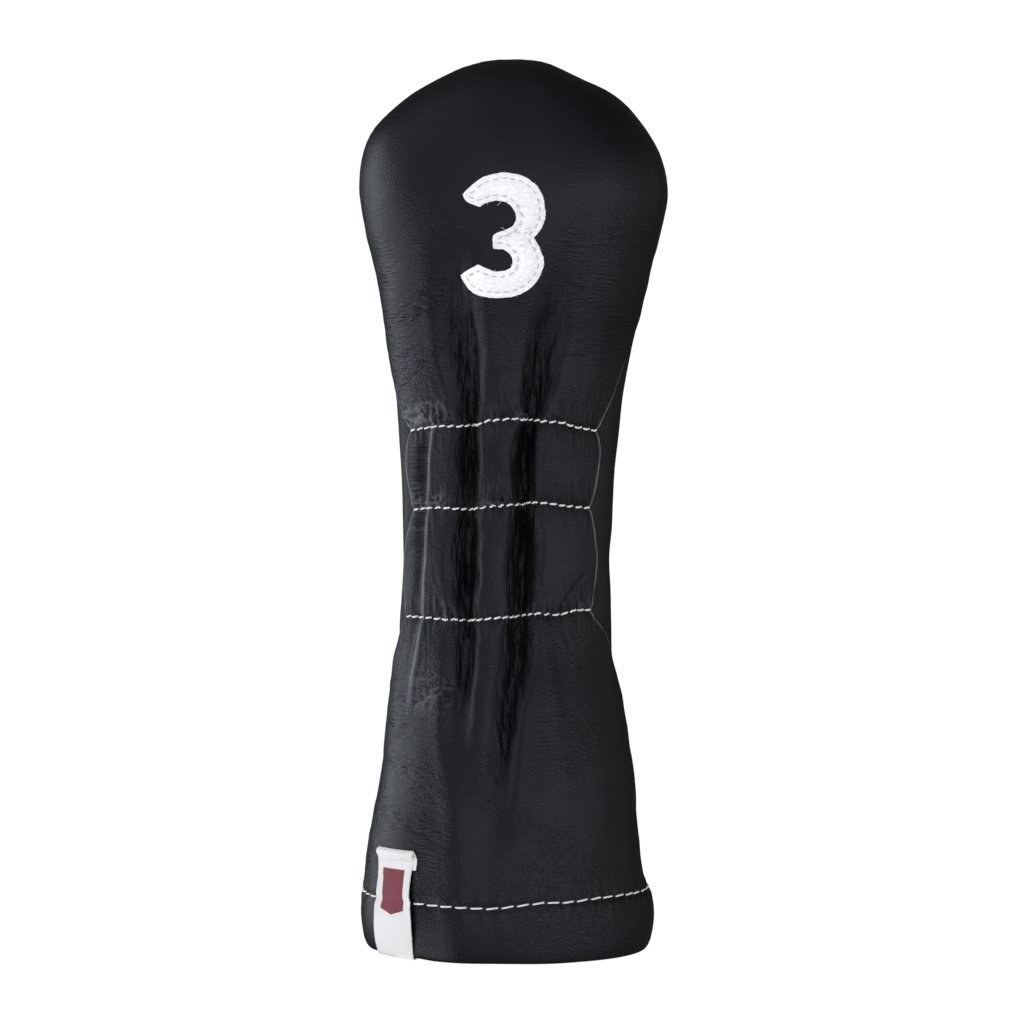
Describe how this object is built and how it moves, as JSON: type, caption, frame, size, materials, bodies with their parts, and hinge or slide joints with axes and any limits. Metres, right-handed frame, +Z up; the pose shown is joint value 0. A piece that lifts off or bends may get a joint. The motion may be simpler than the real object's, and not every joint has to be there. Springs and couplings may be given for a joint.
{
  "type": "golf fairway wood head cover",
  "caption": "Leather sleeve that covers a golf wood's head: rounded head, gathered elastic neck, flared open skirt, sewn-on numeral and woven label.",
  "frame": {"origin": "on the plane of the hem, under the middle of the part's bounding box, with the cover standing on its hem", "axes": "+Z up from the hem to the crown, the numeral's side faces -Y, +X to the right seen from there"},
  "size_m": [0.1128, 0.0833, 0.325],
  "materials": {
    "black_leather": "smooth pebbled grain, low sheen",
    "white_leather": "grained, low sheen",
    "lining_fleece": "brushed fleece",
    "elastic": "woven elastic",
    "white_thread": "twisted polyester thread",
    "black_thread": "twisted polyester thread",
    "grey_thread": "twisted polyester thread",
    "label_satin": "woven satin"
  },
  "bodies": {
    "root": {"front_panel": "black_leather", "back_panel": "black_leather", "front_lining": "lining_fleece", "back_lining": "lining_fleece", "upper_elastic": "elastic", "upper_gather_thread": "white_thread", "upper_bobbin_thread": "black_thread", "middle_elastic": "elastic", "middle_gather_thread": "white_thread", "middle_bobbin_thread": "black_thread", "lower_elastic": "elastic", "lower_gather_thread": "white_thread", "lower_bobbin_thread": "black_thread", "shell_seam_thread": "black_thread", "lining_seam_thread": "black_thread", "hem_thread": "white_thread", "hem_bobbin_thread": "black_thread", "numeral_patch": "white_leather", "numeral_thread": "grey_thread", "woven_label": "label_satin", "label_thread": "white_thread"}
  },
  "joints": []
}
